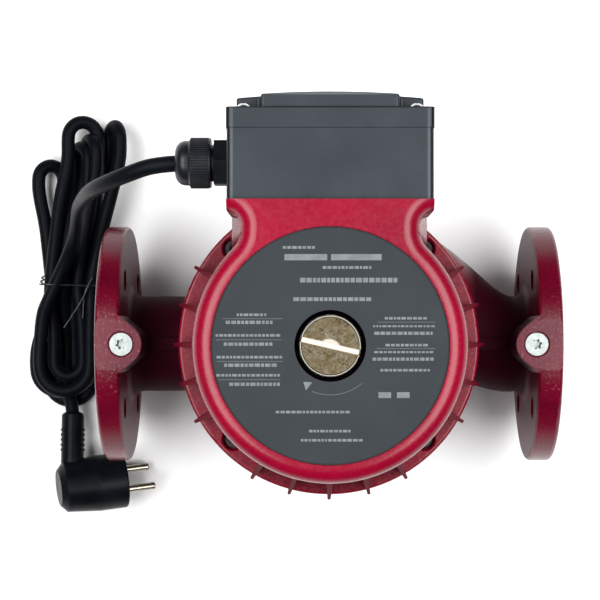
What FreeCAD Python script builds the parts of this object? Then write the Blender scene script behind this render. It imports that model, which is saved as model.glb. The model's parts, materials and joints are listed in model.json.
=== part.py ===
"""Flanged in-line circulator pump with a canned rotor, lying on its back with its cord coiled.

Frame: Z is the motor axis, up out of the rest face. X is the pipe axis, suction on -X and
discharge on +X. Y points to the terminal box. The origin is where the motor axis meets the
rest face. Millimetres.
"""
import FreeCAD, Part
import math
import os

V = FreeCAD.Vector

# Pipe work
FACE_TO_FACE = 280.0
PIPE_Z = 76.0
FLANGE_R = 74.0
FLANGE_T = 15.0
FLANGE_EDGE = 2.6
BOLT_CIRCLE = 110.0
BOLT_HOLE_R = 7.0
PORT_R = 25.0
NECK_R = 30.0
BOSS_X = 124.0
BOSS_R = 12.3
BOSS_Z = 148.4
BOSS_CHEEK = 17.0
GAUGE_R = 7.15
GAUGE_DEPTH = 12.0

# Pump casing
FOOT_R = 45.0
CASE_Z = 113.0
CASE_FLANGE_T = 14.0
CASE_FLANGE_R = 90.6
CHAMBER_R = 60.0
CHAMBER_Z0, CHAMBER_Z1 = 63.0, 89.0
SCROLL_GROWTH = 20.0
SCROLL_START = 10.0
CASE_WALL = 6.0
PLATE_SEAT_R = 66.0
EYE_R = 22.0
WEAR_SEAT_R = 27.0
RADIAL_GAP = 0.3

# Motor
RING_R = 91.6
RING_T = 13.0
FRONT_Z = 296.0
FRONT_R = 71.5
ROOT_R = 75.0
RIM_ROUND = 9.0
BORE_R = 60.0
FRONT_WALL = 15.0
PLATE_R = 61.3
PLATE_T = 0.8
VENT_HOLE_R = 18.5
FIN_R = 91.8
FIN_ROOT_T, FIN_TIP_T = 3.6, 1.9
FIN_STEP = 15
FIN_ANGLES = list(range(-30, 31, FIN_STEP)) + list(range(150, 211, FIN_STEP)) + \
    list(range(240, 301, FIN_STEP))
SCREW_PCR = 82.0
SCREW_R = 3.0
SCREW_HEAD_R = 5.0
POCKET_R = 6.2
NECK_HALF = 46.7
NECK_BACK_HALF = 57.0
NECK_Z0 = 205.0

# Rotor and wet parts
SHAFT_R = 8.0
RUNNING = 0.04
CAN_R = 34.6
CAN_WALL = 0.8
ROTOR_R = 34.0
CORE_Z0, CORE_Z1 = 138.0, 240.0
END_RING_T = 10.0
IMPELLER_R = 54.0
BLADES = 6
BEARING_R = 12.0
VENT_THREAD_R = 12.0
VENT_HEAD_R = 15.55
CAN_TOP = 285.0
STATOR_SLOTS = 24

# Terminal box
BOX_HALF = 53.7
BOX_Y0, BOX_Y1 = 75.7, 112.8
LID_Y = 123.6
LID_TOP = 131.7
BOX_Z0, BOX_Z1 = 208.0, 292.0
BOX_WALL = 2.5
BOX_ROUND = 3.0
LID_SCREW_X = 45.0
LID_SCREW_IN = 6.5
GLAND_Y, GLAND_Z = 97.9, 254.0
GLAND_THREAD_R = 9.9
HEX_CORNER_R = 13.55
NUT_R = 13.3

# Cord
CORD_D = 8.9
CORD_START = V(-72.0, GLAND_Y, GLAND_Z)
LEAD_ROUTE = [
    CORD_START, V(-92.0, GLAND_Y, GLAND_Z), V(-111.0, 92.0, 247.0), V(-125.5, 88.0, 231.0),
    V(-134.5, 86.5, 208.0), V(-141.5, 86.0, 175.0), V(-149.0, 86.0, 135.0), V(-156.0, 84.5, 97.0),
    V(-160.5, 79.5, 69.0), V(-164.5, 70.0, 50.0), V(-170.5, 57.0, 38.5), V(-178.0, 42.5, 33.0),
    V(-184.0, 26.0, 30.5),
]
HANK_H = 27.0
TIE_Y = 38.5
TIE_W = 1.2
PLUG_FACE = V(-136.0, -91.0, 18.4)
PLUG_YAW, PLUG_PITCH, PLUG_ROLL = 6.5, 17.0, 50.0
PLUG_R = 18.5
PLUG_BACK_R = 16.0
PIN_R, PIN_L, PIN_GAP = 2.4, 19.0, 19.0
BOOT_TOP = V(-170.0, -46.5, 19.0)
BOOT_END = V(-169.5, -80.0, 26.5)
BOOT_R = 7.5


# ---------------------------------------------------------------- helpers
def cyl(r, z0, z1, x=0.0, y=0.0):
    """Upright cylinder between two heights."""
    return Part.makeCylinder(r, z1 - z0, V(x, y, z0))


def cyl_x(r, x0, x1, y=0.0, z=PIPE_Z):
    """Cylinder along X."""
    return Part.makeCylinder(r, x1 - x0, V(x0, y, z), V(1, 0, 0))


def cyl_y(r, y0, y1, x=0.0, z=0.0):
    """Cylinder along Y."""
    return Part.makeCylinder(r, y1 - y0, V(x, y0, z), V(0, 1, 0))


def tube(r0, r1, z0, z1, x=0.0, y=0.0):
    """Upright ring with its inner and outer radius."""
    return cyl(r1, z0, z1, x, y).cut(cyl(r0, z0 - 1, z1 + 1, x, y))


def block(x0, x1, y0, y1, z0, z1):
    """Box between two corners."""
    return Part.makeBox(x1 - x0, y1 - y0, z1 - z0, V(x0, y0, z0))


def turned(outline, axis=V(0, 0, 1)):
    """Solid of revolution of an outline given as (radius, height) corners."""
    side = V(1, 0, 0) if axis.z else V(0, 0, 1)
    corners = [side * r + axis * h for r, h in outline]
    return Part.Face(Part.makePolygon(corners + corners[:1])).revolve(V(0, 0, 0), axis, 360)


def hexagon(corner_r, length, start, direction, turn=0.0):
    """Hexagonal prism along a direction."""
    points = [V(corner_r * math.cos(math.radians(turn + 60 * k)),
                corner_r * math.sin(math.radians(turn + 60 * k)), 0) for k in range(7)]
    prism = Part.Face(Part.makePolygon(points)).extrude(V(0, 0, length))
    prism.Placement = FreeCAD.Placement(start, FreeCAD.Rotation(V(0, 0, 1), direction))
    return prism


def rounded(shape, radius, wanted):
    """Fillet the edges whose centre passes the test."""
    edges = [e for e in shape.Edges if wanted(e.CenterOfMass, e)]
    return shape.makeFillet(radius, edges)


def joined(shapes):
    """One solid out of overlapping ones."""
    whole = shapes[0].multiFuse(shapes[1:]).removeSplitter()
    return whole.Solids[0] if len(whole.Solids) == 1 else whole


def group(shapes):
    """Separate solids that share one node."""
    return Part.makeCompound(shapes)


def around(count, make, start=0.0):
    """The same shape repeated about the motor axis."""
    copies = []
    for k in range(count):
        shape = make()
        shape.rotate(V(0, 0, 0), V(0, 0, 1), start + 360.0 * k / count)
        copies.append(shape)
    return copies


# ---------------------------------------------------------------- pump casing
def scroll(extra, z0, z1):
    """Spiral of the volute, growing clockwise seen from the motor, and widened by extra."""
    steps = 36
    points = []
    for k in range(steps + 1):
        angle = math.radians(SCROLL_START - 360.0 * k / steps)
        r = CHAMBER_R + extra + SCROLL_GROWTH * k / steps
        points.append(V(r * math.cos(angle), r * math.sin(angle), z0))
    curve = Part.BSplineCurve()
    curve.interpolate(points)
    wire = Part.Wire([curve.toShape(), Part.makeLine(points[-1], points[0])])
    return Part.Face(wire).extrude(V(0, 0, z1 - z0))


def discharge(widths):
    """Throat from the top of the scroll, curving down to the outlet on the pipe axis."""
    stations = [(22, 62), (54, 43), (80, 17), (101, 3), (126, 0)]
    rings = []
    for k, (x, y) in enumerate(stations):
        before = stations[max(k - 1, 0)]
        after = stations[min(k + 1, len(stations) - 1)]
        heading = V(after[0] - before[0], after[1] - before[1], 0)
        if k == len(stations) - 1:
            heading = V(1, 0, 0)
        rings.append(Part.Wire(Part.makeCircle(widths[k], V(x, y, PIPE_Z), heading)))
    return Part.makeLoft(rings, True)


def pipe_flange(side):
    """Flange disc with rounded rim and a cove down to the neck."""
    outer = FACE_TO_FACE / 2
    inner = outer - FLANGE_T
    disc = cyl_x(FLANGE_R, inner, outer)
    disc = disc.makeFillet(FLANGE_EDGE, [e for e in disc.Edges if abs(e.Length - 2 * math.pi * FLANGE_R) < 1])
    cove_r = 9.0
    corner = V(inner, 0, PIPE_Z + NECK_R + cove_r)
    cove = Part.Wire([
        Part.Arc(V(inner, 0, corner.z), V(inner - cove_r * 0.2929, 0, corner.z - cove_r * 0.7071),
                 V(inner - cove_r, 0, PIPE_Z + NECK_R)).toShape(),
        Part.makeLine(V(inner - cove_r, 0, PIPE_Z + NECK_R), V(inner - 2 * cove_r, 0, PIPE_Z + NECK_R - 3)),
        Part.makeLine(V(inner - 2 * cove_r, 0, PIPE_Z + NECK_R - 3), V(inner - 2 * cove_r, 0, PIPE_Z)),
        Part.makeLine(V(inner - 2 * cove_r, 0, PIPE_Z), V(inner + 1, 0, PIPE_Z)),
        Part.makeLine(V(inner + 1, 0, PIPE_Z), V(inner + 1, 0, corner.z)),
        Part.makeLine(V(inner + 1, 0, corner.z), V(inner, 0, corner.z)),
    ])
    root = Part.Face(cove).revolve(V(0, 0, PIPE_Z), V(1, 0, 0), 360)
    flange = joined([disc, root])
    land = block(inner - 30, outer + 1, -60, 60, BOSS_Z, BOSS_Z + 10)
    boss = cyl(BOSS_R, PIPE_Z + 20, BOSS_Z, BOSS_X)
    touch = math.atan2(BOSS_CHEEK, inner - BOSS_X) + math.acos(BOSS_R / math.hypot(BOSS_CHEEK, inner - BOSS_X))
    foot_x, foot_y = BOSS_X + BOSS_R * math.cos(touch), BOSS_R * math.sin(touch)
    cheek = [V(inner + 5, BOSS_CHEEK, 100), V(inner, BOSS_CHEEK, 100), V(foot_x, foot_y, 100),
             V(foot_x, -foot_y, 100), V(inner, -BOSS_CHEEK, 100), V(inner + 5, -BOSS_CHEEK, 100)]
    cheek = Part.Face(Part.makePolygon(cheek + cheek[:1])).extrude(V(0, 0, BOSS_Z - 100))
    cheek = cheek.common(cyl_x(FLANGE_R - 0.3, inner - 30, outer))
    flange = joined([flange, boss, cheek]).cut(land)
    if side < 0:
        flange = flange.mirror(V(0, 0, 0), V(1, 0, 0))
    return flange


def flange_holes(side):
    """Four bolt holes and the gauge port with its countersink."""
    outer = FACE_TO_FACE / 2
    holes = []
    for k in range(4):
        angle = math.radians(45 + 90 * k)
        y = BOLT_CIRCLE / 2 * math.cos(angle)
        z = PIPE_Z + BOLT_CIRCLE / 2 * math.sin(angle)
        x0 = outer - FLANGE_T - 6 if side > 0 else -outer - 1
        holes.append(cyl_x(BOLT_HOLE_R, x0, x0 + FLANGE_T + 7, y, z))
    x = side * BOSS_X
    holes.append(cyl(GAUGE_R, BOSS_Z - GAUGE_DEPTH, BOSS_Z + 1, x))
    holes.append(Part.makeCone(GAUGE_R, GAUGE_R + 0.7, 0.9, V(x, 0, BOSS_Z - 0.9)))
    holes.append(cyl(3.0, PIPE_Z, BOSS_Z - GAUGE_DEPTH + 1, x))
    return holes


def pump_housing():
    """Cast casing: necks, flanges, volute, suction duct under the impeller and rest foot."""
    volute = scroll(CASE_WALL, CHAMBER_Z0 - 8, CASE_Z - 8)
    volute = rounded(volute, 5.0, lambda c, e: abs(c.z - CHAMBER_Z0 + 8) < 0.1 and e.Length > 60)
    rim = cyl(CASE_FLANGE_R, CASE_Z - CASE_FLANGE_T, CASE_Z)
    rim = rim.makeFillet(1.2, [e for e in rim.Edges if abs(e.CenterOfMass.z - CASE_Z + CASE_FLANGE_T) < 0.1
                               and e.Length > 100])
    cone = Part.makeCone(80.0, CASE_FLANGE_R - 2, 12, V(0, 0, CASE_Z - CASE_FLANGE_T - 12))
    neck = cyl_x(NECK_R, -FACE_TO_FACE / 2 + 5, -76)
    elbow = joined([cyl(31, 8, PIPE_Z, -79), Part.makeSphere(NECK_R + 0.7, V(-79, 0, PIPE_Z))])
    duct = block(-79, 0, -31, 31, 8, 58)
    hub = cyl(36, 4, 60)
    foot = Part.makeCone(FOOT_R, FOOT_R - 2, 9, V(0, 0, 0))
    solids = [volute, rim, cone, neck, elbow, duct, hub, foot, discharge([22, 27, 30.5, 30.3, 28.6])]
    solids += [block(-FACE_TO_FACE / 2 + 20, -70, -3.7, 3.7, 90, 109.3),
               block(70, FACE_TO_FACE / 2 - 20, -3.7, 3.7, 90, 109.3)]
    solids += around(4, lambda: block(20, 74, -3, 3, 12, 70), 45)
    solids += [pipe_flange(1), pipe_flange(-1)]
    body = joined(solids)
    cutters = [scroll(0.0, CHAMBER_Z0, CHAMBER_Z1), cyl(CHAMBER_R, CHAMBER_Z0, CASE_Z + 1),
               cyl(PLATE_SEAT_R, 107.5, CASE_Z + 1), discharge([12.5, 16, 20, 21, 24.8]),
               cyl_x(PORT_R, 112, 150), cyl_x(PORT_R, -150, -93),
               Part.makeSphere(PORT_R, V(-93, 0, PIPE_Z)),
               block(-104, -81, -24, 24, 14, PIPE_Z), block(-90, 0, -24, 24, 14, 42),
               cyl(EYE_R, 14, 56), cyl(WEAR_SEAT_R, 52, CHAMBER_Z0 + 1),
               tube(68, 72, CASE_Z - 2.5, CASE_Z + 1)]
    cutters += around(4, lambda: cyl(SCREW_R, CASE_Z - 12, CASE_Z + 1, SCREW_PCR), 45)
    cutters += flange_holes(1) + flange_holes(-1)
    return body.cut(cutters[0].multiFuse(cutters[1:]))


def gauge_plugs():
    """Flush plugs with a six-lobed socket in the two gauge ports."""
    plugs = []
    for side in (-1, 1):
        x = side * BOSS_X
        z0 = BOSS_Z - GAUGE_DEPTH + 1.6
        plug = cyl(GAUGE_R, z0, BOSS_Z - 0.5, x)
        plug = plug.makeChamfer(0.35, [e for e in plug.Edges if abs(e.CenterOfMass.z - BOSS_Z + 0.5) < 0.1])
        lobes = [cyl(0.8, BOSS_Z - 4.5, BOSS_Z + 1, x + 2.35 * math.cos(math.radians(12 + 60 * k)),
                     2.35 * math.sin(math.radians(12 + 60 * k))) for k in range(6)]
        plugs.append(plug.cut(cyl(2.3, BOSS_Z - 4.5, BOSS_Z + 1, x).multiFuse(lobes)))
    return group(plugs)


def gauge_plug_seals():
    """Soft rings under the gauge plugs."""
    z0 = BOSS_Z - GAUGE_DEPTH
    return group([tube(3.4, GAUGE_R, z0, z0 + 1.6, side * BOSS_X) for side in (-1, 1)])


def wear_ring():
    """Bronze neck ring around the impeller eye."""
    return tube(24.8, WEAR_SEAT_R, 52, 60)


def housing_seal():
    """Ring seal between the casing and the motor flange."""
    return tube(68, 72, CASE_Z - 2.5, CASE_Z)


# ---------------------------------------------------------------- wet end
def bearing_plate():
    """Plate that closes the casing and carries the lower bearing."""
    plate = turned([(13, 92), (CHAMBER_R - 0.3, 92), (CHAMBER_R - 0.3, 107.5), (PLATE_SEAT_R, 107.5),
                    (PLATE_SEAT_R, 112), (52, 112), (52, 97), (19, 97), (19, 120), (BEARING_R, 120),
                    (BEARING_R, 98), (13, 98)])
    ports = around(4, lambda: cyl(2.5, 90, 98, 26), 30)
    return plate.cut(group(ports))


def lower_bearing():
    """Carbon sleeve in the bearing plate."""
    return tube(SHAFT_R + RUNNING, BEARING_R, 98, 120)


def rotor_can():
    """Thin can that keeps the water off the stator, with the vent boss at its closed end."""
    outer = CAN_R + CAN_WALL
    can = turned([(CAN_R, 112), (PLATE_SEAT_R - 0.3, 112), (PLATE_SEAT_R - 0.3, CASE_Z), (outer, CASE_Z),
                  (outer, 270), (17.5, 270), (17.5, CAN_TOP), (VENT_THREAD_R, CAN_TOP),
                  (VENT_THREAD_R, 268), (CAN_R, 268)])
    return can


def can_seal():
    """Ring seal round the can's boss that also lines the hole in the motor front."""
    return turned([(17.5, 282), (VENT_HOLE_R, 282), (VENT_HOLE_R, 293.5), (16.3, 293.5), (16.3, CAN_TOP),
                   (17.5, CAN_TOP)])


def bearing_carrier():
    """Spider in the closed end of the can that carries the upper bearing."""
    ring = tube(BEARING_R, CAN_R, 260, 268)
    return ring.cut(group(around(6, lambda: cyl(4.5, 255, 270, 22), 15)))


def upper_bearing():
    """Carbon sleeve in the bearing carrier."""
    return tube(SHAFT_R + RUNNING, BEARING_R, 254, 268)


def rotor_shaft():
    """Hollow-ended shaft with a driver slot at its free end and a stud for the impeller nut."""
    shaft = joined([cyl(SHAFT_R, 68, 266), cyl(4.0, 56, 69)])
    shaft = shaft.makeChamfer(0.8, [e for e in shaft.Edges if abs(e.CenterOfMass.z - 266) < 0.1])
    return shaft.cut(block(-10, 10, -1.1, 1.1, 262.5, 270))


def rotor_core():
    """Laminated rotor in its sleeve."""
    return tube(SHAFT_R, ROTOR_R, CORE_Z0, CORE_Z1)


def rotor_end_rings():
    """Short-circuit rings of the cage."""
    return group([tube(19, ROTOR_R - 2, CORE_Z0 - END_RING_T, CORE_Z0),
                  tube(19, ROTOR_R - 2, CORE_Z1, CORE_Z1 + END_RING_T)])


def thrust_collar():
    """Collar that takes the impeller's pull against the lower bearing."""
    return tube(SHAFT_R, 16.0, 120 + RADIAL_GAP, CORE_Z0 - 0.5)


def impeller():
    """Closed impeller: two shrouds, swept-back blades, hub and eye neck."""
    back = tube(SHAFT_R, IMPELLER_R, 82, 85)
    hub = tube(SHAFT_R, 12.0, 70, 96)
    front = tube(21.5, IMPELLER_R, 69, 72)
    neck = tube(21.5, 24.5, 54, 71)

    def blade():
        start, mid, end = V(20, 0, 71), V(39, 8.5, 71), V(50, 24.5, 71)
        inner = Part.Arc(start, mid, end).toShape()
        shift = V(1.4, -2.1, 0)
        outer = Part.Arc(start + shift, mid + shift, end + shift).toShape()
        ends = [Part.makeLine(end, end + shift), Part.makeLine(start + shift, start)]
        outline = Part.Wire([inner, ends[0], outer, ends[1]])
        return Part.Face(outline).extrude(V(0, 0, 12))

    return joined([back, hub, front, neck] + around(BLADES, blade))


def impeller_nut():
    """Nut under the impeller hub."""
    return hexagon(7.5, 6, V(0, 0, 60.2), V(0, 0, 1)).cut(cyl(4.0, 55, 68))


def impeller_washer():
    """Washer between the nut and the shaft shoulder."""
    return tube(4.0, 11.0, 66.2, 68)


# ---------------------------------------------------------------- motor
def front_outline():
    """Face of the motor front: a disc with a neck up to the terminal box."""
    join_y = math.sqrt(FRONT_R ** 2 - NECK_HALF ** 2)
    top = BOX_Y0
    foot = 70.0
    wire = []
    right = V(NECK_HALF, join_y, 0)
    left = V(-NECK_HALF, join_y, 0)
    wire.append(Part.Arc(left, V(0, -FRONT_R, 0), right).toShape())
    knee = V(NECK_HALF, 61.5, 0)
    flare = V(BOX_HALF, foot, 0)
    middle = V(NECK_HALF + 2.1, 67.6, 0)
    path = [right, knee]
    wire.append(Part.makeLine(path[0], path[1]))
    wire.append(Part.Arc(knee, middle, flare).toShape())
    wire.append(Part.makeLine(flare, V(BOX_HALF, top, 0)))
    wire.append(Part.makeLine(V(BOX_HALF, top, 0), V(-BOX_HALF, top, 0)))
    wire.append(Part.makeLine(V(-BOX_HALF, top, 0), V(-flare.x, flare.y, 0)))
    wire.append(Part.Arc(V(-flare.x, flare.y, 0), V(-middle.x, middle.y, 0), V(-knee.x, knee.y, 0)).toShape())
    wire.append(Part.makeLine(V(-knee.x, knee.y, 0), left))
    return Part.Wire(Part.__sortEdges__(wire))


def motor_front():
    """Thick front of the housing with its rounded rim."""
    front = Part.Face(front_outline()).extrude(V(0, 0, 60))
    front.translate(V(0, 0, FRONT_Z - 60))
    corners = [e for e in front.Edges
               if abs(abs(e.CenterOfMass.x) - NECK_HALF) < 0.1 and abs(e.CenterOfMass.y - 54.1) < 1.0
               and abs(e.CenterOfMass.z - FRONT_Z + 30) < 1]
    front = front.makeFillet(12.0, corners)
    rim = [e for e in front.Edges if abs(e.CenterOfMass.z - FRONT_Z) < 0.1 and e.CenterOfMass.y < BOX_Y0 - 0.5
           and abs(abs(e.CenterOfMass.x) - BOX_HALF) > 0.05]
    return front.makeFillet(RIM_ROUND, rim)


def box_neck():
    """Neck under the terminal box, wider towards its back."""
    def frame(half, z):
        return Part.makePolygon([V(-half, 20, z), V(half, 20, z), V(half, BOX_Y0, z), V(-half, BOX_Y0, z),
                                 V(-half, 20, z)])
    return Part.makeLoft([frame(NECK_BACK_HALF - 2, NECK_Z0), frame(NECK_HALF - 0.6, FRONT_Z - RIM_ROUND - 4)],
                         True, True)


def fin():
    """Axial cooling fin with draft and a round tip, full height near the flange and running out at the front."""
    z0 = CASE_Z + RING_T - 1
    tip = FIN_TIP_T / 2
    root = FIN_ROOT_T / 2
    section = Part.Wire([
        Part.makeLine(V(66, -root, z0), V(FIN_R - tip, -tip, z0)),
        Part.Arc(V(FIN_R - tip, -tip, z0), V(FIN_R, 0, z0), V(FIN_R - tip, tip, z0)).toShape(),
        Part.makeLine(V(FIN_R - tip, tip, z0), V(66, root, z0)),
        Part.makeLine(V(66, root, z0), V(66, -root, z0)),
    ])
    blade = Part.Face(section).extrude(V(0, 0, 262 - z0))
    slope = [V(100, -5, 157), V(100, -5, 270), V(72.1, -5, 270), V(FIN_R, -5, 157)]
    return blade.cut(Part.Face(Part.makePolygon(slope + slope[:1])).extrude(V(0, 10, 0)))


def screw_pocket():
    """Counterbore and clearance hole for one motor screw."""
    hole = joined([cyl(POCKET_R, CASE_Z + 5, CASE_Z + 60, SCREW_PCR), cyl(SCREW_R + 0.3, CASE_Z - 1, CASE_Z + 6,
                                                                        SCREW_PCR)])
    mouth = Part.makeCone(POCKET_R, POCKET_R + 1.1, 1.2, V(SCREW_PCR, 0, CASE_Z + RING_T - 1.2))
    return hole.fuse(mouth)


def motor_housing():
    """Aluminium motor shell with its flange, fins, front rim and terminal box neck."""
    ring = cyl(RING_R, CASE_Z, CASE_Z + RING_T)
    ring = ring.makeFillet(2.0, [e for e in ring.Edges if abs(e.CenterOfMass.z - CASE_Z - RING_T) < 0.1
                                 and e.Length > 100])
    barrel = Part.makeCone(ROOT_R, FRONT_R, FRONT_Z - 60 - CASE_Z, V(0, 0, CASE_Z))
    fins = []
    for angle in FIN_ANGLES:
        blade = fin()
        blade.rotate(V(0, 0, 0), V(0, 0, 1), angle)
        fins.append(blade)
    body = joined([barrel.multiFuse(fins), ring, motor_front(), box_neck()])
    cutters = [cyl(BORE_R, CASE_Z - 1, FRONT_Z - FRONT_WALL), cyl(VENT_HOLE_R, 270, FRONT_Z + 1),
               tube(26, BORE_R, FRONT_Z - FRONT_WALL - 1, FRONT_Z - FRONT_WALL + 6),
               block(-41, 41, 40, BOX_Y0 - 5.5, NECK_Z0 + 6, FRONT_Z - FRONT_WALL + 2),
               cyl(PLATE_R + 0.3, FRONT_Z - 0.9, FRONT_Z + 1), cyl_y(11, 40, 80, 0, 250)]
    cutters += [cyl_y(1.6, 66, 80, x, 275) for x in (-30, 30)]
    cutters += around(4, screw_pocket, 45)
    return body.cut(cutters[0].multiFuse(cutters[1:]))


def motor_screws():
    """Four socket screws from the motor flange into the casing."""
    def screw():
        head = cyl(SCREW_HEAD_R, CASE_Z + 5, CASE_Z + 11, SCREW_PCR)
        head = head.cut(hexagon(2.9, 5, V(SCREW_PCR, 0, CASE_Z + 8), V(0, 0, 1)))
        return joined([head, cyl(SCREW_R, CASE_Z - 12, CASE_Z + 5.5, SCREW_PCR)])
    return group(around(4, screw, 45))


def nameplate():
    """Round dark plate in the recess of the motor front."""
    return tube(VENT_HOLE_R, PLATE_R, FRONT_Z - 0.9, FRONT_Z - 0.9 + PLATE_T)


def stator_core():
    """Laminated stator with its slots, pressed into the housing."""
    core = tube(CAN_R + CAN_WALL + 0.4, BORE_R, CORE_Z0, CORE_Z1)
    slots = around(STATOR_SLOTS, lambda: block(37, 51, -1.6, 1.6, CORE_Z0 - 1, CORE_Z1 + 1))
    return core.cut(group(slots))


def windings():
    """Copper in the slots with the end turns above and below the core."""
    bars = around(STATOR_SLOTS, lambda: block(38.5, 50.5, -1.3, 1.3, CORE_Z0 - 1, CORE_Z1 + 1))
    turns = [tube(38.0, 56.0, z, z + 16.0) for z in (CORE_Z0 - 16.2, CORE_Z1 + 0.2)]
    return joined(turns + bars)


def stator_leads():
    """Three wires from the windings up to the terminal box."""
    return group([cyl_y(1.4, 56.2, 80.5, x, 253) for x in (-4, 0, 4)])


def vent_plug():
    """Slotted vent plug in the middle of the front."""
    head = cyl(VENT_HEAD_R, 288.5, 297.6)
    head = head.makeChamfer(0.9, [e for e in head.Edges if abs(e.CenterOfMass.z - 297.6) < 0.1])
    slot = block(-20, 20, -1.35, 1.35, 295.0, 299)
    thumb = cyl(6.7, 296.5, 299, 0, -3.1).common(block(-8, 8, 1, 5, 296, 299))
    slot = slot.fuse(thumb)
    slot.rotate(V(0, 0, 0), V(0, 0, 1), -13)
    body = joined([head, cyl(11.0, 284, 289), cyl(VENT_THREAD_R - 0.05, 272, 285.0)])
    return body.cut(slot)


def vent_seal():
    """Ring seal under the head of the vent plug."""
    return tube(11.06, 14.6, 285.3, 288.45)


# ---------------------------------------------------------------- terminal box
def posts():
    """Places of the four lid screws."""
    return [(x, z) for x in (-LID_SCREW_X, LID_SCREW_X) for z in (BOX_Z0 + LID_SCREW_IN, BOX_Z1 - LID_SCREW_IN)]


def shell(half, y0, y1, z0, z1, corner):
    """Box with its upright corners rounded."""
    solid = block(-half, half, y0, y1, z0, z1)
    return rounded(solid, corner, lambda c, e: abs(abs(c.x) - half) < 0.01 and (abs(c.z - z0) < 0.01
                                                                               or abs(c.z - z1) < 0.01)
                   and abs(c.y - (y0 + y1) / 2) < 0.01)


def terminal_box_base():
    """Open tray of the terminal box with four screw posts."""
    tray = shell(BOX_HALF, BOX_Y0, BOX_Y1, BOX_Z0, BOX_Z1, BOX_ROUND)
    inside = block(-BOX_HALF + BOX_WALL, BOX_HALF - BOX_WALL, BOX_Y0 + 3, BOX_Y1 + 1, BOX_Z0 + BOX_WALL,
                   BOX_Z1 - BOX_WALL)
    tray = tray.cut(inside)
    tray = joined([tray] + [cyl_y(4.6, BOX_Y0 + 2, BOX_Y1 - 1.5, x, z) for x, z in posts()])
    holes = [cyl_y(2.0, BOX_Y1 - 16, BOX_Y1 + 1, x, z) for x, z in posts()]
    holes += [cyl_x(GLAND_THREAD_R, -BOX_HALF - 1, -BOX_HALF + BOX_WALL + 1, GLAND_Y, GLAND_Z),
              cyl_y(11, 70, 82, 0, 250)]
    holes += [cyl_y(1.6, 70, 82, x, 275) for x in (-30, 30)]
    return tray.cut(holes[0].multiFuse(holes[1:]))


def box_gasket():
    """Flat ring seal between the tray and the lid."""
    outer = block(-BOX_HALF + 1, BOX_HALF - 1, BOX_Y1, BOX_Y1 + 1, BOX_Z0 + 1, BOX_Z1 - 1)
    inner = block(-BOX_HALF + 2.6, BOX_HALF - 2.6, BOX_Y1 - 1, BOX_Y1 + 2, BOX_Z0 + 2.6, BOX_Z1 - 2.6)
    return outer.cut(inner)


def terminal_box_lid():
    """Lid with a raised middle and a pocket at each corner for its screw."""
    skirt = shell(BOX_HALF + 0.4, BOX_Y1, LID_Y, BOX_Z0 - 0.4, BOX_Z1 + 0.4, BOX_ROUND)
    middle = [block(-36, 36, LID_Y - 2, LID_TOP, BOX_Z0 + 1.2, BOX_Z1 - 1.2),
              block(-49, 49, LID_Y - 2, LID_TOP, BOX_Z0 + 11.5, BOX_Z1 - 11.5)]
    raised = joined(middle)
    raised = rounded(raised, 1.8, lambda c, e: abs(e.Length - (LID_TOP - LID_Y + 2)) < 0.1)
    bow_r = 546.0
    raised = raised.common(cyl(bow_r, BOX_Z0 - 5, BOX_Z1 + 5, 0, LID_TOP - bow_r))
    lid = joined([skirt, raised])
    lid = rounded(lid, 1.2, lambda c, e: c.y > LID_TOP - 3.2 and e.Length > 5)
    cavity = block(-BOX_HALF + 2.6, BOX_HALF - 2.6, BOX_Y1 - 1, LID_Y - 3, BOX_Z0 + 2.6, BOX_Z1 - 2.6)
    rebate = block(-BOX_HALF + 1, BOX_HALF - 1, BOX_Y1 - 1, BOX_Y1 + 1, BOX_Z0 + 1, BOX_Z1 - 1)
    dome = block(-33, 33, LID_Y - 4, LID_TOP - 4, BOX_Z0 + 6, BOX_Z1 - 6)
    lugs = [cyl_y(3.7, BOX_Y1 - 1.5, LID_Y - 2, x, z) for x, z in posts()]
    lid = joined([lid.cut(cavity.multiFuse([rebate, dome]))] + lugs)
    return lid.cut(group([cyl_y(2.2, BOX_Y1 - 5, LID_Y + 1, x, z) for x, z in posts()]))


def lid_screws():
    """Four domed screws that hold the lid."""
    screws = []
    for x, z in posts():
        dome = Part.makeSphere(4.6, V(x, LID_Y - 2.1, z))
        dome = dome.common(block(x - 5, x + 5, LID_Y, LID_Y + 4, z - 5, z + 5))
        cross = [block(x - 2, x + 2, LID_Y + 1.2, LID_Y + 4, z - 0.45, z + 0.45),
                 block(x - 0.45, x + 0.45, LID_Y + 1.2, LID_Y + 4, z - 2, z + 2)]
        dome = dome.cut(cross[0].fuse(cross[1]))
        screws.append(joined([dome, cyl_y(2.0, BOX_Y1 - 15, LID_Y + 0.5, x, z)]))
    return group(screws)


def box_screws():
    """Two screws that hold the tray to the motor neck."""
    return group([joined([cyl_y(3.2, BOX_Y0 + 3, BOX_Y0 + 5.5, x, 275), cyl_y(1.6, 67, BOX_Y0 + 4, x, 275)])
                  for x in (-30, 30)])


def terminal_block():
    """Row of terminals in an insulating block."""
    body = block(-18, 38, BOX_Y0 + 3, BOX_Y0 + 19, 218, 238)
    cells = [cyl_y(2.6, BOX_Y0 + 8, BOX_Y0 + 20, x, 228) for x in (-12, -1, 10, 21, 32)]
    cells += [block(x - 2.2, x + 2.2, BOX_Y0 + 4.5, BOX_Y0 + 8.5, 217, 239) for x in (-12, -1, 10, 21, 32)]
    return body.cut(cells[0].multiFuse(cells[1:]))


def terminal_screws():
    """Clamping screws of the terminals."""
    screws = []
    for x in (-12, -1, 10, 21, 32):
        head = cyl_y(2.6, BOX_Y0 + 9, BOX_Y0 + 17, x, 228)
        screws.append(head.cut(block(x - 3, x + 3, BOX_Y0 + 16, BOX_Y0 + 18, 227.6, 228.4)))
    return group(screws)


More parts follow.
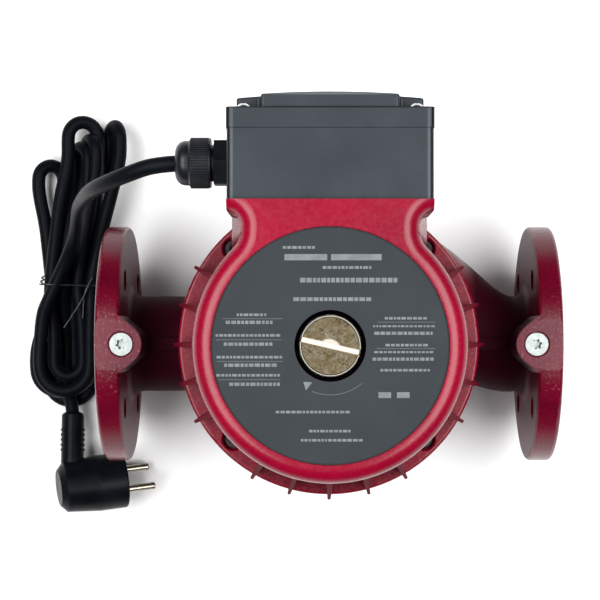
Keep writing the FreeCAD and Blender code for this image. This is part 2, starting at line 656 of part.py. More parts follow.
def capacitor():
    """Run capacitor lying in the box."""
    can = cyl_x(13.5, -20, 36, BOX_Y0 + 19.5, 272)
    return joined([can.makeFillet(1.5, can.Edges), cyl_x(6.0, -26, -19, BOX_Y0 + 19.5, 272)])


def capacitor_clip():
    """Spring clip around the capacitor."""
    y = BOX_Y0 + 19.5
    ring = cyl_x(14.3, 4, 12, y, 272).cut(cyl_x(13.5, 3, 13, y, 272))
    ring = ring.cut(block(0, 20, y + 6, y + 20, 262, 282))
    return joined([ring, block(4, 12, BOX_Y0 + 3, y - 13.8, 267, 277)])


def gland_body():
    """Hexagon of the cable gland with threads into the wall and the nut."""
    left = V(-1, 0, 0)
    nut = hexagon(HEX_CORNER_R, 8.3, V(-BOX_HALF, GLAND_Y, GLAND_Z), left)
    body = joined([nut, cyl_x(GLAND_THREAD_R, -72, -45, GLAND_Y, GLAND_Z)])
    return body.cut(cyl_x(CORD_D / 2 + 1.2, -80, -40, GLAND_Y, GLAND_Z)).cut(
        cyl_x(8.2, -73, -66, GLAND_Y, GLAND_Z))


def gland_locknut():
    """Nut that holds the gland inside the box."""
    nut = hexagon(12.8, 4.0, V(-BOX_HALF + BOX_WALL, GLAND_Y, GLAND_Z), V(1, 0, 0))
    return nut.cut(cyl_x(GLAND_THREAD_R, -60, -40, GLAND_Y, GLAND_Z))


def gland_seal():
    """Rubber sleeve that grips the cord."""
    return cyl_x(8.2, -76, -66, GLAND_Y, GLAND_Z).cut(cyl_x(CORD_D / 2, -80, -60, GLAND_Y, GLAND_Z))


def gland_nut():
    """Ribbed clamping nut with its domed mouth."""
    skirt = cyl_x(NUT_R, -75.4, -63.7, GLAND_Y, GLAND_Z)
    skirt = skirt.makeChamfer(1.0, [e for e in skirt.Edges if abs(e.CenterOfMass.x + 75.4) < 0.1])
    dome = cyl_x(12.0, -82.9, -74, GLAND_Y, GLAND_Z)
    dome = dome.makeFillet(5.8, [e for e in dome.Edges if abs(e.CenterOfMass.x + 82.9) < 0.1])
    nut = joined([skirt, dome])
    bore = [cyl_x(GLAND_THREAD_R, -73, -60, GLAND_Y, GLAND_Z), cyl_x(8.2, -77, -70, GLAND_Y, GLAND_Z),
            cyl_x(CORD_D / 2 + 0.4, -90, -60, GLAND_Y, GLAND_Z)]
    return nut.cut(bore[0].multiFuse(bore[1:]))


# ---------------------------------------------------------------- cord and plug
def routed_tube(points, radius):
    """Round tube along straight runs joined by tangent arcs."""
    edges = []
    start = points[0]
    for k in range(1, len(points) - 1):
        back = points[k - 1] - points[k]
        ahead = points[k + 1] - points[k]
        half = (math.pi - back.getAngle(ahead)) / 2
        reach = 0.45 * min(back.Length, ahead.Length)
        bend = reach / math.tan(half)
        print(f"cord bend {k}: radius {bend:.1f} mm")
        back.normalize()
        ahead.normalize()
        enter = points[k] + back * reach
        leave = points[k] + ahead * reach
        inward = back + ahead
        inward.normalize()
        middle = points[k] + inward * (bend / math.cos(half) - bend)
        edges.append(Part.LineSegment(start, enter).toShape())
        edges.append(Part.Arc(enter, middle, leave).toShape())
        start = leave
    edges.append(Part.LineSegment(start, points[-1]).toShape())
    wire = Part.Wire(edges)
    ring = Part.Wire(Part.makeCircle(radius, points[0], points[1] - points[0]))
    return wire.makePipeShell([ring], True, False)


def mains_cord_lead():
    """Cord from the gland down to the coil."""
    return routed_tube(LEAD_ROUTE, CORD_D / 2)


def mains_cord_hank():
    """Outer shape of the coiled and tied cord, waisted at its tie."""
    waist_left, waist_right = -189.0, -154.0
    outline = [V(-166, 151, 0), V(-143, 148, 0), V(-135.5, 136, 0), V(-142, 103, 0), V(-149, 70, 0),
               V(waist_right, TIE_Y, 0), V(-155, 8, 0), V(-156, -20, 0), V(-172, -42, 0), V(-189, -30, 0),
               V(-198, -5, 0), V(-195, 20, 0), V(waist_left, TIE_Y, 0), V(-190, 75, 0), V(-197, 103, 0),
               V(-187, 121, 0), V(-179, 135, 0)]
    curve = Part.BSplineCurve()
    curve.interpolate(outline, PeriodicFlag=True)
    body = Part.Face(Part.Wire(curve.toShape())).extrude(V(0, 0, HANK_H))
    body = body.makeFillet(5.0, [e for e in body.Edges if e.Length > 100])
    stub = Part.makeCylinder(CORD_D / 2, 10, BOOT_TOP, BOOT_TOP - BOOT_END)
    groove = block(-220, -120, TIE_Y, TIE_Y + TIE_W, -1, HANK_H + 1)
    groove = groove.cut(block(waist_left + 1.5, waist_right - 1.5, TIE_Y - 1, TIE_Y + TIE_W + 1, 1.2,
                              HANK_H - 1.2))
    return joined([body, stub]).cut(groove)


def cord_tie():
    """Wire tie around the waist of the coil."""
    left, right = -189.6, -153.4
    outer = block(left, right, TIE_Y, TIE_Y + TIE_W, 0, HANK_H)
    outer = rounded(outer, 5.0, lambda c, e: abs(e.Length - TIE_W) < 0.01)
    inner = block(left + 2.1, right - 2.1, TIE_Y - 1, TIE_Y + TIE_W + 1, 1.2, HANK_H - 1.2)
    return outer.cut(inner)


def plug_place(shape):
    """Move a shape from the plug's own frame, pins along +X, to where the plug lies."""
    yaw = FreeCAD.Rotation(V(0, 0, 1), PLUG_YAW)
    pitch = FreeCAD.Rotation(V(0, 1, 0), PLUG_PITCH)
    shape.Placement = FreeCAD.Placement(PLUG_FACE, yaw * pitch).multiply(shape.Placement)
    return shape


def pin_spots():
    """Centres of the two pins on the plug's face."""
    roll = math.radians(PLUG_ROLL)
    half = PIN_GAP / 2
    return [V(0, half * math.cos(roll), -half * math.sin(roll)), V(0, -half * math.cos(roll), half * math.sin(roll))]


def plug_body():
    """Moulded side-entry plug with its strain relief."""
    drum = Part.makeCylinder(PLUG_R, 19, V(-19, 0, 0), V(1, 0, 0))
    drum = drum.makeFillet(1.2, [e for e in drum.Edges if abs(e.CenterOfMass.x) < 0.1])
    back = Part.makeCone(PLUG_BACK_R, PLUG_R, 26, V(-44, 0, 0), V(1, 0, 0))
    back = back.makeChamfer(4.0, [e for e in back.Edges if abs(e.CenterOfMass.x + 44) < 0.1])
    head = joined([drum, back])
    holes = []
    for spot in pin_spots():
        holes.append(Part.makeCylinder(PIN_R, 15, spot - V(12, 0, 0), V(1, 0, 0)))
    turn = math.degrees(math.atan2(pin_spots()[0].z, pin_spots()[0].y))
    for side in (-1, 1):
        slot = block(-14, 1, -2.1, 2.1, 16.9, 19) if side > 0 else block(-14, 1, -2.1, 2.1, -19, -16.9)
        slot.rotate(V(0, 0, 0), V(1, 0, 0), turn)
        holes.append(slot)
    head = plug_place(head.cut(holes[0].multiFuse(holes[1:])))
    along = BOOT_END - BOOT_TOP
    boot = Part.makeCylinder(BOOT_R, along.Length, BOOT_TOP, along)
    boot = boot.makeFillet(2.5, [e for e in boot.Edges if (e.CenterOfMass - BOOT_TOP).Length < 1])
    return joined([head, boot])


def plug_pins():
    """Two round contact pins."""
    pins = []
    for spot in pin_spots():
        pin = Part.makeCylinder(PIN_R, PIN_L + 12, spot - V(12, 0, 0), V(1, 0, 0))
        pin = pin.makeFillet(1.2, [e for e in pin.Edges if abs(e.CenterOfMass.x - PIN_L) < 0.1])
        pins.append(plug_place(pin))
    return group(pins)


def plug_earth_clips():
    """Earth contacts on two sides of the plug's face."""
    turn = math.degrees(math.atan2(pin_spots()[0].z, pin_spots()[0].y))
    clips = []
    for side in (-1, 1):
        clip = block(-14, 0.0, -2.1, 2.1, 16.9, 18.0) if side > 0 else block(-14, 0.0, -2.1, 2.1, -18.0, -16.9)
        clip.rotate(V(0, 0, 0), V(1, 0, 0), turn)
        clips.append(plug_place(clip))
    return group(clips)


NODES = [
    pump_housing, wear_ring, housing_seal, gauge_plugs, gauge_plug_seals, bearing_plate, lower_bearing,
    rotor_can, can_seal, bearing_carrier, upper_bearing, rotor_shaft, rotor_core, rotor_end_rings,
    thrust_collar, impeller, impeller_nut, impeller_washer, motor_housing, motor_screws, nameplate,
    stator_core, windings, stator_leads, vent_plug, vent_seal, terminal_box_base, box_gasket,
    terminal_box_lid, lid_screws, box_screws, terminal_block, terminal_screws, capacitor, capacitor_clip,
    gland_body, gland_locknut, gland_seal, gland_nut, mains_cord_lead, mains_cord_hank, cord_tie,
    plug_body, plug_pins, plug_earth_clips,
]

os.makedirs("parts", exist_ok=True)
for make in NODES:
    shape = make()
    bad = "" if shape.isValid() and shape.Volume > 0 else "  NOT VALID"
    print(f"{make.__name__:20s} {len(shape.Solids):3d} solids {shape.Volume / 1000:9.2f} cm3{bad}")
    shape.exportStep(f"parts/{make.__name__}.step")
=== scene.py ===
"""Circulator pump lying on its back with its tied mains lead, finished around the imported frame."""

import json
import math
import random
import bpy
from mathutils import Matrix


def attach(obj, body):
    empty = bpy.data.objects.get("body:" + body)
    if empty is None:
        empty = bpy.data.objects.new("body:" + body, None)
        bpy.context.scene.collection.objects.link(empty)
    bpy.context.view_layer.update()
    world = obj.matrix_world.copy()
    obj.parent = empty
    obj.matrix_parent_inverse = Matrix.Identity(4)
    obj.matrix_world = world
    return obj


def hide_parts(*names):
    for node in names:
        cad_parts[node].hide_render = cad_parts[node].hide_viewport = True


bl_info = {
    "name": "Circulator pump",
    "version": (1, 0, 0),
    "blender": (4, 5, 0),
    "location": "3D View > Sidebar > Pump",
    "description": "Cord, tie, plug details, plate print and finishes of a flanged circulator pump",
    "category": "Object",
}

import bmesh
import bpy
from bpy.props import FloatProperty, FloatVectorProperty, IntProperty, PointerProperty
from mathutils import Matrix, Vector

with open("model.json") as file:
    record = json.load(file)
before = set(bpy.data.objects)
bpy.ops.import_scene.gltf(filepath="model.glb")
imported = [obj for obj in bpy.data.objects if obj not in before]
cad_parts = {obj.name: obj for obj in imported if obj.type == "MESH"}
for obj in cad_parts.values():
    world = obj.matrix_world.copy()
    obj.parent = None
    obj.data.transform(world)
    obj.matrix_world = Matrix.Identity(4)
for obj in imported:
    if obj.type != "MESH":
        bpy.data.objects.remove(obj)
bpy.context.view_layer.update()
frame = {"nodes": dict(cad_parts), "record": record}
MM = 0.001


# ------------------------------------------------------------------ small tools
def linear(shade):
    """sRGB hex such as 8f0a24 as linear red, green and blue."""
    parts = [int(shade[k:k + 2], 16) / 255 for k in (0, 2, 4)]
    return tuple(c / 12.92 if c <= 0.04045 else ((c + 0.055) / 1.055) ** 2.4 for c in parts)


def add(tree, kind, inputs=(), **settings):
    """Add a node. Settings are its own properties, inputs are values or sockets by name or number."""
    made = tree.nodes.new(kind)
    for key, value in settings.items():
        setattr(made, key, value)
    for key, value in dict(inputs).items():
        if isinstance(value, bpy.types.NodeSocket):
            tree.links.new(value, made.inputs[key])
        else:
            made.inputs[key].default_value = value
    return made


def colour(name, shade, words):
    """A colour setting with an sRGB default."""
    return FloatVectorProperty(name=name, description=words, subtype="COLOR", size=3, min=0, max=1,
                               default=linear(shade))


def length(name, value, words):
    """A length setting in metres with a default in millimetres."""
    return FloatProperty(name=name, description=words, default=value * MM, min=0.0, unit="LENGTH")


def place(obj, body, slot, *stands_for):
    """Hand a finished piece to its body and hide the CAD nodes that it stands for. The slot argument is not used."""
    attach(obj, body)
    if stands_for:
        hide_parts(*stands_for)
    return obj


def linked(name, data):
    """Put a mesh or a curve in the scene as an object at the origin."""
    obj = bpy.data.objects.new(name, data)
    bpy.context.scene.collection.objects.link(obj)
    return obj


def solid_piece(name, bm, material, smooth_angle=35):
    """Close up a bmesh, turn its faces outwards and make it an object."""
    bmesh.ops.remove_doubles(bm, verts=bm.verts, dist=1e-6)
    bmesh.ops.recalc_face_normals(bm, faces=bm.faces)
    mesh = bpy.data.meshes.new(name)
    bm.to_mesh(mesh)
    bm.free()
    mesh.materials.append(material)
    mesh.shade_smooth()
    mesh.set_sharp_from_angle(angle=math.radians(smooth_angle))
    return linked(name, mesh)


def grown(name, tree, values, material):
    """Run a geometry tree with its inputs set, and keep the result as a plain mesh."""
    seed = linked(name + "_seed", bpy.data.meshes.new(name + "_seed"))
    modifier = seed.modifiers.new(name, "NODES")
    modifier.node_group = tree
    sockets = {item.name: item.identifier for item in tree.interface.items_tree if item.in_out == "INPUT"}
    for key, value in values.items():
        modifier[sockets[key]] = value
    whole = seed.evaluated_get(bpy.context.evaluated_depsgraph_get())
    mesh = bpy.data.meshes.new_from_object(whole)
    bpy.data.objects.remove(seed)
    mesh.name = name
    mesh.materials.clear()
    mesh.materials.append(material)
    return linked(name, mesh)


# ------------------------------------------------------------------ settings
class CordSettings(bpy.types.PropertyGroup):
    """Sizes and colour of the mains lead."""
    diameter: length("Diameter", 8.9, "Outside diameter of the round sheath")
    sheath: colour("Sheath", "05080c", "Colour of the sheath")
    tie: length("Tie", 1.25, "Thickness of the wire tie")


class CastingSettings(bpy.types.PropertyGroup):
    """Enamel on the two castings."""
    enamel: colour("Enamel", "5e001c", "Colour of the enamel")
    shadow: colour("Thin enamel", "520017", "Colour where the enamel runs thin")
    casting_grain: length("Casting grain", 1.6, "Size of the bumps of the sand casting")
    shell_grain: length("Shell grain", 2.4, "Size of the ripples on the die-cast shell")


class BoxSettings(bpy.types.PropertyGroup):
    """Terminal box and cable gland."""
    plastic: colour("Plastic", "20272d", "Colour of the box")
    nylon: colour("Nylon", "080c11", "Colour of the gland")
    ribs: IntProperty(name="Ribs", description="Grip ribs around the gland nut", default=60, min=12, max=120)
    rib_width: length("Rib width", 0.84, "Width of one grip rib")


class PlateSettings(bpy.types.PropertyGroup):
    """Nameplate and vent plug."""
    foil: colour("Foil", "23282c", "Colour of the plate")
    ink: colour("Ink", "63686b", "Colour of the print")
    nickel: colour("Nickel", "7c7362", "Colour of the vent plug")


class PlugSettings(bpy.types.PropertyGroup):
    """Mains plug."""
    rubber: colour("Rubber", "04060a", "Colour of the plug")
    rings: IntProperty(name="Rings", description="Rings on the strain relief", default=5, min=2, max=9)
    ring_pitch: length("Ring pitch", 3.35, "Distance between two rings of the strain relief")


class StageSettings(bpy.types.PropertyGroup):
    """Camera, floor and lights."""
    floor: colour("Floor", "f4f4f4", "Colour of the floor")
    height: FloatProperty(name="Camera height", description="Height of the camera above the floor",
                          default=1.223, min=0.4, unit="LENGTH")
    lens: FloatProperty(name="Lens", description="Focal length in millimetres", default=108.24, min=20)
    power: FloatProperty(name="Light", description="Power of each softbox", default=40.0, min=0, unit="POWER")


GROUPS = {"pump_cord": CordSettings, "pump_casting": CastingSettings, "pump_box": BoxSettings,
          "pump_plate": PlateSettings, "pump_plug": PlugSettings, "pump_stage": StageSettings}


# ------------------------------------------------------------------ finishes
def finish(name, main, other, tone_mm, grain_mm, depth_mm, rough, spread=0.05, edge_mm=0.0, detail=4.0,
           **constants):
    """Material whose tone drifts between two colours and whose grain gives bump and roughness."""
    made = bpy.data.materials.new(name)
    made.use_nodes = True
    tree = made.node_tree
    tree.nodes.clear()
    spot = add(tree, "ShaderNodeTexCoord").outputs["Object"]
    tone = add(tree, "ShaderNodeTexNoise", {"Vector": spot, "Scale": 1000 / tone_mm, "Detail": 3.0})
    share = add(tree, "ShaderNodeMapRange", {"Value": tone.outputs[0], "From Min": 0.36, "From Max": 0.64})
    tint = add(tree, "ShaderNodeMix", {0: share.outputs[0], 6: (*main, 1), 7: (*other, 1)}, data_type="RGBA")
    grain = add(tree, "ShaderNodeTexNoise", {"Vector": spot, "Scale": 1000 / grain_mm, "Detail": detail})
    gloss = add(tree, "ShaderNodeMapRange", {"Value": grain.outputs[0], "From Min": 0.3, "From Max": 0.7,
                                             "To Min": rough - spread, "To Max": rough + spread})
    bump = add(tree, "ShaderNodeBump", {"Height": grain.outputs[0], "Distance": depth_mm * MM, "Strength": 1.0})
    if edge_mm:
        edge = add(tree, "ShaderNodeBevel", {"Radius": edge_mm * MM}, samples=4)
        tree.links.new(edge.outputs[0], bump.inputs["Normal"])
    shader = add(tree, "ShaderNodeBsdfPrincipled",
                 {"Base Color": tint.outputs[2], "Roughness": gloss.outputs[0], "Normal": bump.outputs[0],
                  **{key.replace("_", " "): value for key, value in constants.items()}})
    add(tree, "ShaderNodeOutputMaterial", {"Surface": shader.outputs[0]})
    return {"material": made, "tree": tree, "spot": spot, "tint": tint, "grain": grain, "gloss": gloss,
            "bump": bump, "shader": shader}


def blend_in(parts, mask, shade=None, rough=None):
    """Where the mask is 1, lay another colour or roughness over a finish."""
    tree, shader = parts["tree"], parts["shader"]
    if shade is not None:
        old = shader.inputs["Base Color"].links[0].from_socket
        mixed = add(tree, "ShaderNodeMix", {0: mask, 6: old, 7: (*shade, 1)}, data_type="RGBA")
        tree.links.new(mixed.outputs[2], shader.inputs["Base Color"])
    if rough is not None:
        old = shader.inputs["Roughness"].links[0].from_socket
        mixed = add(tree, "ShaderNodeMix", {0: mask, 2: old, 3: rough}, data_type="FLOAT")
        tree.links.new(mixed.outputs[0], shader.inputs["Roughness"])


def sand_cast_enamel(settings):
    """Gloss enamel over sand-cast iron: the casting's bumps show through, and the flange faces are bare.

    Behind the flanges the enamel is set darker and duller by place: this stands in for shade, and isn't known to
    be a difference in the paint.

    A few pale specks lie near the gauge bosses. The outer faces of the flanges show machined iron.
    """
    parts = finish("sand_cast_iron_enamel", settings.enamel, settings.shadow, 22, settings.casting_grain / MM,
                   0.05, 0.27, 0.05, edge_mm=0.5, detail=4.0, Specular_IOR_Level=0.24)
    tree, spot = parts["tree"], parts["spot"]
    axes = add(tree, "ShaderNodeSeparateXYZ", {0: spot})
    out = add(tree, "ShaderNodeMath", {0: axes.outputs[0]}, operation="ABSOLUTE")
    chips = add(tree, "ShaderNodeTexNoise", {"Vector": spot, "Scale": 620.0, "Detail": 2.0})
    near = add(tree, "ShaderNodeMapRange", {"Value": axes.outputs[2], "From Min": 0.138, "From Max": 0.150,
                                            "To Min": 0.0, "To Max": 0.13})
    chance = add(tree, "ShaderNodeMath", {0: chips.outputs[0], 1: near.outputs[0]}, operation="ADD")
    spots = add(tree, "ShaderNodeMapRange", {"Value": chance.outputs[0], "From Min": 0.73, "From Max": 0.79,
                                             "To Min": 0.0, "To Max": 0.3})
    blend_in(parts, spots.outputs[0], linear("b48890"))
    # Painted shade: low down between the body and the flanges the enamel is set dark and dull by place, with a lower
    # specular level.
    throat = add(tree, "ShaderNodeMapRange", {"Value": out.outputs[0], "From Min": 0.1262, "From Max": 0.1222})
    low = add(tree, "ShaderNodeMapRange", {"Value": axes.outputs[2], "From Min": 0.146, "From Max": 0.138})
    both = add(tree, "ShaderNodeMath", {0: throat.outputs[0], 1: low.outputs[0]}, operation="MULTIPLY")
    away = add(tree, "ShaderNodeMapRange", {"Value": out.outputs[0], "From Min": 0.084, "From Max": 0.092})
    thin = add(tree, "ShaderNodeMath", {0: both.outputs[0], 1: away.outputs[0]}, operation="MULTIPLY")
    blend_in(parts, thin.outputs[0], linear("2a030e"), 0.6)
    dull = add(tree, "ShaderNodeMapRange", {"Value": thin.outputs[0], "To Min": 0.24, "To Max": 0.03})
    tree.links.new(dull.outputs[0], parts["shader"].inputs["Specular IOR Level"])
    face = add(tree, "ShaderNodeMapRange", {"Value": out.outputs[0], "From Min": 0.1396, "From Max": 0.1399})
    blend_in(parts, face.outputs[0], linear("8d8b88"), 0.42)
    tree.links.new(face.outputs[0], parts["shader"].inputs["Metallic"])
    return parts["material"]


def die_cast_enamel(settings):
    """Gloss enamel over a die-cast aluminium shell: smoother than the iron, with a slight orange peel.

    The fins are set darker and without gloss by place, as painted shade: this keeps their steep sides from
    mirroring the floor, and isn't known to be a difference in the paint.
    """
    parts = finish("die_cast_shell_enamel", linear("7c0020"), linear("70001c"), 40, settings.shell_grain / MM,
                   0.025, 0.27, 0.04, edge_mm=0.3, Specular_IOR_Level=0.30)
    tree = parts["tree"]
    axes = add(tree, "ShaderNodeSeparateXYZ", {0: parts["spot"]})
    level = add(tree, "ShaderNodeCombineXYZ", {0: axes.outputs[0], 1: axes.outputs[1]})
    reach = add(tree, "ShaderNodeVectorMath", {0: level.outputs[0]}, operation="LENGTH")
    beyond = add(tree, "ShaderNodeMapRange", {"Value": reach.outputs["Value"], "From Min": 0.0730,
                                              "From Max": 0.0740})
    above = add(tree, "ShaderNodeMapRange", {"Value": axes.outputs[2], "From Min": 0.1266, "From Max": 0.1274})
    aside = add(tree, "ShaderNodeMapRange", {"Value": axes.outputs[1], "From Min": 0.060, "From Max": 0.056})
    fins = add(tree, "ShaderNodeMath", {0: beyond.outputs[0], 1: above.outputs[0]}, operation="MULTIPLY")
    fins = add(tree, "ShaderNodeMath", {0: fins.outputs[0], 1: aside.outputs[0]}, operation="MULTIPLY")
    # Painted shade: the fins are set dark and dull by place, with a lower specular level.
    blend_in(parts, fins.outputs[0], linear("5a0015"), 0.7)
    dull = add(tree, "ShaderNodeMapRange", {"Value": fins.outputs[0], "To Min": 0.30, "To Max": 0.02})
    tree.links.new(dull.outputs[0], parts["shader"].inputs["Specular IOR Level"])
    return parts["material"]


def turned(name, main, other, pitch_mm, centre, rough, **constants):
    """Metal turned on a lathe about an upright axis: fine rings that catch the light."""
    parts = finish(name, main, other, 3.5, 0.9, 0.006, rough, 0.09, Metallic=1.0, **constants)
    tree = parts["tree"]
    shift = add(tree, "ShaderNodeMapping", {"Vector": parts["spot"], "Location": [-c * MM for c in centre]})
    rings = add(tree, "ShaderNodeTexWave", {"Vector": shift.outputs[0], "Scale": 1000 / pitch_mm / 3.2,
                                            "Distortion": 0.4}, wave_type="RINGS", rings_direction="Z")
    lathe = add(tree, "ShaderNodeBump", {"Height": rings.outputs[1], "Distance": 0.004 * MM, "Strength": 0.6,
                                         "Normal": parts["bump"].outputs[0]})
    tree.links.new(lathe.outputs[0], parts["shader"].inputs["Normal"])
    return parts


def vent_nickel(settings):
    """Nickel-plated brass, turned and then handled: yellowish, with blotches where the plating has dulled.

    The slot and the edge are set pale and matte by place: they stand in for bright reflections.
    """
    parts = turned("nickel_plated_brass", settings.nickel, linear("64593f"), 0.5, (0, 0, 0), 0.30)
    tree = parts["tree"]
    axes = add(tree, "ShaderNodeSeparateXYZ", {0: parts["spot"]})
    blots = add(tree, "ShaderNodeTexNoise", {"Vector": parts["spot"], "Scale": 230.0, "Detail": 7.0,
                                             "Roughness": 0.78})
    dull = add(tree, "ShaderNodeMapRange", {"Value": blots.outputs[0], "From Min": 0.44, "From Max": 0.66,
                                            "To Min": 0.0, "To Max": 0.8})
    blend_in(parts, dull.outputs[0], linear("4e4230"), 0.42)
    level = add(tree, "ShaderNodeCombineXYZ", {0: axes.outputs[0], 1: axes.outputs[1]})
    reach = add(tree, "ShaderNodeVectorMath", {0: level.outputs[0]}, operation="LENGTH")
    rim = add(tree, "ShaderNodeMapRange", {"Value": reach.outputs["Value"], "From Min": 0.01505,
                                           "From Max": 0.01515})
    upper = add(tree, "ShaderNodeMapRange", {"Value": axes.outputs[2], "From Min": 0.2964, "From Max": 0.2967})
    edge = add(tree, "ShaderNodeMath", {0: rim.outputs[0], 1: upper.outputs[0]}, operation="MULTIPLY")
    slot = add(tree, "ShaderNodeMapRange", {"Value": axes.outputs[2], "From Min": 0.2960, "From Max": 0.2974,
                                            "To Min": 1.0, "To Max": 0.0})
    inside = add(tree, "ShaderNodeMath", {0: 1.0, 1: rim.outputs[0]}, operation="SUBTRACT")
    slot = add(tree, "ShaderNodeMath", {0: slot.outputs[0], 1: inside.outputs[0]}, operation="MULTIPLY")
    # Painted highlight: the slot and the top edge are set pale, matte and less metallic by place.
    painted_highlight = add(tree, "ShaderNodeMath", {0: edge.outputs[0], 1: slot.outputs[0]}, operation="MAXIMUM")
    blend_in(parts, painted_highlight.outputs[0], linear("c2bcb0"), 0.45)
    plated = add(tree, "ShaderNodeMapRange", {"Value": painted_highlight.outputs[0], "To Min": 1.0, "To Max": 0.15})
    tree.links.new(plated.outputs[0], parts["shader"].inputs["Metallic"])
    return parts["material"]


def printed_foil(settings):
    """Matte printed aluminium foil: a fine screen-printed tooth and a darker rim line."""
    parts = finish("printed_foil", settings.foil, linear("1f2428"), 30, 0.35, 0.006, 0.52, 0.04,
                   Specular_IOR_Level=0.16)
    tree = parts["tree"]
    axes = add(tree, "ShaderNodeSeparateXYZ", {0: parts["spot"]})
    level = add(tree, "ShaderNodeCombineXYZ", {0: axes.outputs[0], 1: axes.outputs[1]})
    reach = add(tree, "ShaderNodeVectorMath", {0: level.outputs[0]}, operation="LENGTH")
    rim = add(tree, "ShaderNodeMapRange", {"Value": reach.outputs["Value"], "From Min": 0.0604, "From Max": 0.0607})
    blend_in(parts, rim.outputs[0], linear("15181c"))
    return parts["material"]


def moulded_cord(settings):
    """Extruded rubber sheath: matte black, with a fine grain and a slight drift of tone."""
    parts = finish("extruded_rubber_sheath", settings.sheath, linear("080b10"), 14, 0.8, 0.02, 0.46, 0.06,
                   Specular_IOR_Level=0.05)
    return parts["material"]


def wire_varnish():
    """Plastic-covered wire tie: glossy black."""
    return finish("covered_wire", linear("101214"), linear("1a1c1f"), 4, 0.4, 0.01, 0.3)["material"]


def box_plastic(settings):
    """Moulded ABS with a fine spark-eroded texture.

    The dark corners and the dark lid line are painted shade, and the paler top and the pale line beside each
    corner are painted highlight; all are set by place.
    """
    parts = finish("moulded_abs", settings.plastic, linear("1b2127"), 26, 0.45, 0.02, 0.40, 0.05, edge_mm=0.6,
                   Specular_IOR_Level=0.25)
    tree = parts["tree"]
    axes = add(tree, "ShaderNodeSeparateXYZ", {0: parts["spot"]})
    out = add(tree, "ShaderNodeMath", {0: axes.outputs[0]}, operation="ABSOLUTE")
    # Painted highlight: a faint pale line beside each side corner.
    line = add(tree, "ShaderNodeMath", {0: out.outputs[0], 1: 0.0508, 2: 0.0006}, operation="COMPARE")
    faint = add(tree, "ShaderNodeMath", {0: line.outputs[0], 1: 0.45}, operation="MULTIPLY")
    blend_in(parts, faint.outputs[0], linear("4a5258"))
    # Painted shade: the side corners are set nearly black.
    corner = add(tree, "ShaderNodeMapRange", {"Value": out.outputs[0], "From Min": 0.0518, "From Max": 0.0526})
    blend_in(parts, corner.outputs[0], linear("080a0d"), 0.3)
    # Painted shade: a dark line along the lid edge.
    rim = add(tree, "ShaderNodeMath", {0: axes.outputs[1], 1: 0.1234, 2: 0.0006}, operation="COMPARE")
    blend_in(parts, rim.outputs[0], linear("0b0e12"), 0.35)
    # Painted highlight: the top of the box is set paler.
    top = add(tree, "ShaderNodeMapRange", {"Value": axes.outputs[1], "From Min": 0.1297, "From Max": 0.1304})
    blend_in(parts, top.outputs[0], linear("4c4e50"), 0.5)
    return parts["material"]


def gland_nylon(settings):
    """Moulded nylon: satin black."""
    return finish("moulded_nylon", settings.nylon, linear("12161b"), 9, 0.5, 0.012, 0.34, 0.05, edge_mm=0.4,
                  Specular_IOR_Level=0.25)[
        "material"]


def plug_rubber(settings):
    """Moulded soft PVC of the plug: black with a slight skin and a few scuffs."""
    parts = finish("moulded_soft_pvc", settings.rubber, linear("090c11"), 12, 0.7, 0.03, 0.36, 0.07, edge_mm=0.6,
                   Specular_IOR_Level=0.07)
    tree = parts["tree"]
    scuffs = add(tree, "ShaderNodeTexNoise", {"Vector": parts["spot"], "Scale": 260.0, "Detail": 6.0,
                                              "Roughness": 0.7})
    worn = add(tree, "ShaderNodeMapRange", {"Value": scuffs.outputs[0], "From Min": 0.62, "From Max": 0.74,
                                            "To Min": 0.0, "To Max": 0.35})
    blend_in(parts, worn.outputs[0], linear("1d2024"), 0.55)
    return parts["material"]


def inner_finishes():
    """Finishes of the parts inside the pump and of its small hardware."""
    steel = finish("turned_stainless", linear("b9b7b1"), linear("a5a39d"), 9, 0.6, 0.004, 0.28, 0.06, Metallic=1.0)
    sheet = finish("stamped_laminations", linear("7d7f84"), linear("63656b"), 5, 0.5, 0.02, 0.45, Metallic=1.0)
    axes = add(sheet["tree"], "ShaderNodeSeparateXYZ", {0: sheet["spot"]})
    stack = add(sheet["tree"], "ShaderNodeMath", {0: axes.outputs[2], 1: 1000 * math.pi}, operation="MULTIPLY")
    lines = add(sheet["tree"], "ShaderNodeMath", {0: stack.outputs[0]}, operation="SINE")
    step = add(sheet["tree"], "ShaderNodeBump", {"Height": lines.outputs[0], "Distance": 0.05 * MM})
    sheet["tree"].links.new(step.outputs[0], sheet["shader"].inputs["Normal"])
    zinc = turned("zinc_plated_steel", linear("d8dcdb"), linear("c3c9ca"), 0.4, (0, 0, 0), 0.24)
    bronze = finish("turned_bronze", linear("a8824f"), linear("8d6b3f"), 6, 0.5, 0.01, 0.35, Metallic=1.0)
    copper = finish("enamelled_copper_wire", linear("b4623a"), linear("96492a"), 4, 1.1, 0.25, 0.3, Metallic=0.8)
    aluminium = finish("cast_aluminium", linear("b4b5b8"), linear("9c9da1"), 8, 0.8, 0.03, 0.42, Metallic=1.0)
    brass = finish("turned_brass", linear("c8a25a"), linear("b08c48"), 5, 0.5, 0.01, 0.3, Metallic=1.0)
    carbon = finish("ground_carbon", linear("26272a"), linear("303134"), 5, 0.3, 0.006, 0.48)
    seal = finish("moulded_rubber", linear("010102"), linear("030304"), 8, 0.5, 0.01, 0.6, Specular_IOR_Level=0.0)
    ceramic = finish("moulded_terminal_resin", linear("d9d5c6"), linear("cbc6b4"), 8, 0.5, 0.02, 0.4)
    shell = finish("capacitor_resin", linear("d4d4d0"), linear("c6c6c1"), 12, 0.6, 0.01, 0.35)
    return {
        "stainless": steel["material"], "lamination_steel": sheet["material"], "zinc_steel": zinc["material"],
        "bronze": bronze["material"], "copper": copper["material"], "cage_aluminium": aluminium["material"],
        "brass": brass["material"], "carbon": carbon["material"], "rubber": seal["material"],
        "insulator": ceramic["material"], "capacitor_shell": shell["material"],
    }


MATERIALS = {}


